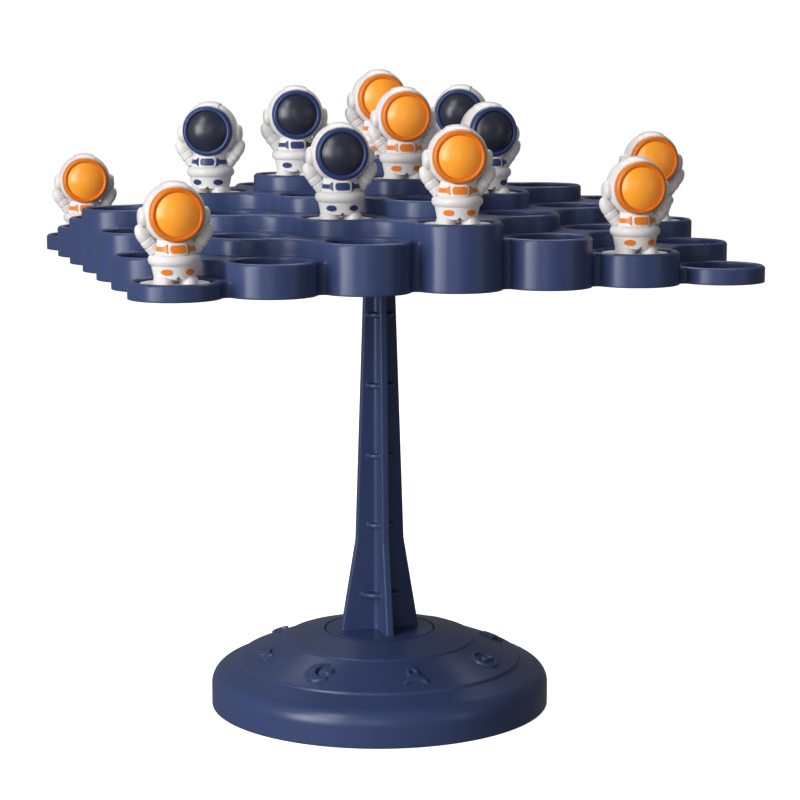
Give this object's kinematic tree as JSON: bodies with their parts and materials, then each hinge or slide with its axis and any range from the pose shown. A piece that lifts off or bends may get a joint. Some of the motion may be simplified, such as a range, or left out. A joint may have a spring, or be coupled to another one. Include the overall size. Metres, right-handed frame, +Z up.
{
  "type": "balancing tree game",
  "caption": "Balancing game: a stepped square crown of round cups rocks on a ball atop a slim finned trunk in a round base, with small spaceman figures in the cups.",
  "frame": {"origin": "middle of the base's underside, on the trunk's axis", "axes": "+Z up along the trunk, the crown's rows of cups along X and Y, the figures facing about -Y"},
  "size_m": [0.1742, 0.1742, 0.1884],
  "materials": {
    "white_plastic": "satin gloss",
    "ball_plastic": "polished",
    "navy_plastic": "satin",
    "orange_trim": "satin gloss",
    "orange_visor": "gloss",
    "navy_trim": "satin gloss",
    "navy_visor": "gloss"
  },
  "bodies": {
    "base": {"base_shell": "navy_plastic", "base_cover": "navy_plastic"},
    "trunk": {"trunk": "navy_plastic"},
    "cap": {"trunk_cap": "navy_plastic"},
    "ball": {"pivot_ball": "ball_plastic"},
    "crown": {"crown_tray": "navy_plastic", "crown_socket": "ball_plastic"},
    "figure_01": {"figure_01_suit": "white_plastic", "figure_01_visor_bead": "orange_trim", "figure_01_visor": "orange_visor", "figure_01_trim": "orange_trim"},
    "figure_02": {"figure_02_suit": "white_plastic", "figure_02_visor_bead": "orange_trim", "figure_02_visor": "orange_visor", "figure_02_trim": "orange_trim"},
    "figure_03": {"figure_03_suit": "white_plastic", "figure_03_visor_bead": "navy_trim", "figure_03_visor": "navy_visor", "figure_03_trim": "navy_trim"},
    "figure_04": {"figure_04_suit": "white_plastic", "figure_04_visor_bead": "navy_trim", "figure_04_visor": "navy_visor", "figure_04_trim": "navy_trim"},
    "figure_05": {"figure_05_suit": "white_plastic", "figure_05_visor_bead": "orange_trim", "figure_05_visor": "orange_visor", "figure_05_trim": "orange_trim"},
    "figure_06": {"figure_06_suit": "white_plastic", "figure_06_visor_bead": "orange_trim", "figure_06_visor": "orange_visor", "figure_06_trim": "orange_trim"},
    "figure_07": {"figure_07_suit": "white_plastic", "figure_07_visor_bead": "navy_trim", "figure_07_visor": "navy_visor", "figure_07_trim": "navy_trim"},
    "figure_08": {"figure_08_suit": "white_plastic", "figure_08_visor_bead": "navy_trim", "figure_08_visor": "navy_visor", "figure_08_trim": "navy_trim"},
    "figure_09": {"figure_09_suit": "white_plastic", "figure_09_visor_bead": "orange_trim", "figure_09_visor": "orange_visor", "figure_09_trim": "orange_trim"},
    "figure_10": {"figure_10_suit": "white_plastic", "figure_10_visor_bead": "navy_trim", "figure_10_visor": "navy_visor", "figure_10_trim": "navy_trim"},
    "figure_11": {"figure_11_suit": "white_plastic", "figure_11_visor_bead": "orange_trim", "figure_11_visor": "orange_visor", "figure_11_trim": "orange_trim"},
    "figure_12": {"figure_12_suit": "white_plastic", "figure_12_visor_bead": "orange_trim", "figure_12_visor": "orange_visor", "figure_12_trim": "orange_trim"}
  },
  "joints": [
    {"name": "trunk_lift", "type": "slide", "parent": "base", "child": "trunk", "axis": [0, 0, 1], "range_m": [0, 0.016]},
    {"name": "cap_spin", "type": "hinge", "parent": "trunk", "child": "cap", "pos_m": [0, 0, 0.1543], "axis": [0, 0, 1], "continuous": true},
    {"name": "crown_rock_x", "type": "hinge", "parent": "cap", "child": "ball", "pos_m": [0, 0, 0.1543], "axis": [1, 0, 0], "range_deg": [-8, 8]},
    {"name": "crown_rock_y", "type": "hinge", "parent": "ball", "child": "crown", "pos_m": [0, 0, 0.1543], "axis": [0, 1, 0], "range_deg": [-8, 8]},
    {"name": "figure_01_lift", "type": "slide", "parent": "crown", "child": "figure_01", "axis": [0, 0, 1], "range_m": [0, 0.02]},
    {"name": "figure_02_lift", "type": "slide", "parent": "crown", "child": "figure_02", "axis": [0, 0, 1], "range_m": [0, 0.02]},
    {"name": "figure_03_lift", "type": "slide", "parent": "crown", "child": "figure_03", "axis": [0, 0, 1], "range_m": [0, 0.02]},
    {"name": "figure_04_lift", "type": "slide", "parent": "crown", "child": "figure_04", "axis": [0, 0, 1], "range_m": [0, 0.02]},
    {"name": "figure_05_lift", "type": "slide", "parent": "crown", "child": "figure_05", "axis": [0, 0, 1], "range_m": [0, 0.02]},
    {"name": "figure_06_lift", "type": "slide", "parent": "crown", "child": "figure_06", "axis": [0, 0, 1], "range_m": [0, 0.02]},
    {"name": "figure_07_lift", "type": "slide", "parent": "crown", "child": "figure_07", "axis": [0, 0, 1], "range_m": [0, 0.02]},
    {"name": "figure_08_lift", "type": "slide", "parent": "crown", "child": "figure_08", "axis": [0, 0, 1], "range_m": [0, 0.02]},
    {"name": "figure_09_lift", "type": "slide", "parent": "crown", "child": "figure_09", "axis": [0, 0, 1], "range_m": [0, 0.02]},
    {"name": "figure_10_lift", "type": "slide", "parent": "crown", "child": "figure_10", "axis": [0, 0, 1], "range_m": [0, 0.02]},
    {"name": "figure_11_lift", "type": "slide", "parent": "crown", "child": "figure_11", "axis": [0, 0, 1], "range_m": [0, 0.02]},
    {"name": "figure_12_lift", "type": "slide", "parent": "crown", "child": "figure_12", "axis": [0, 0, 1], "range_m": [0, 0.02]}
  ]
}
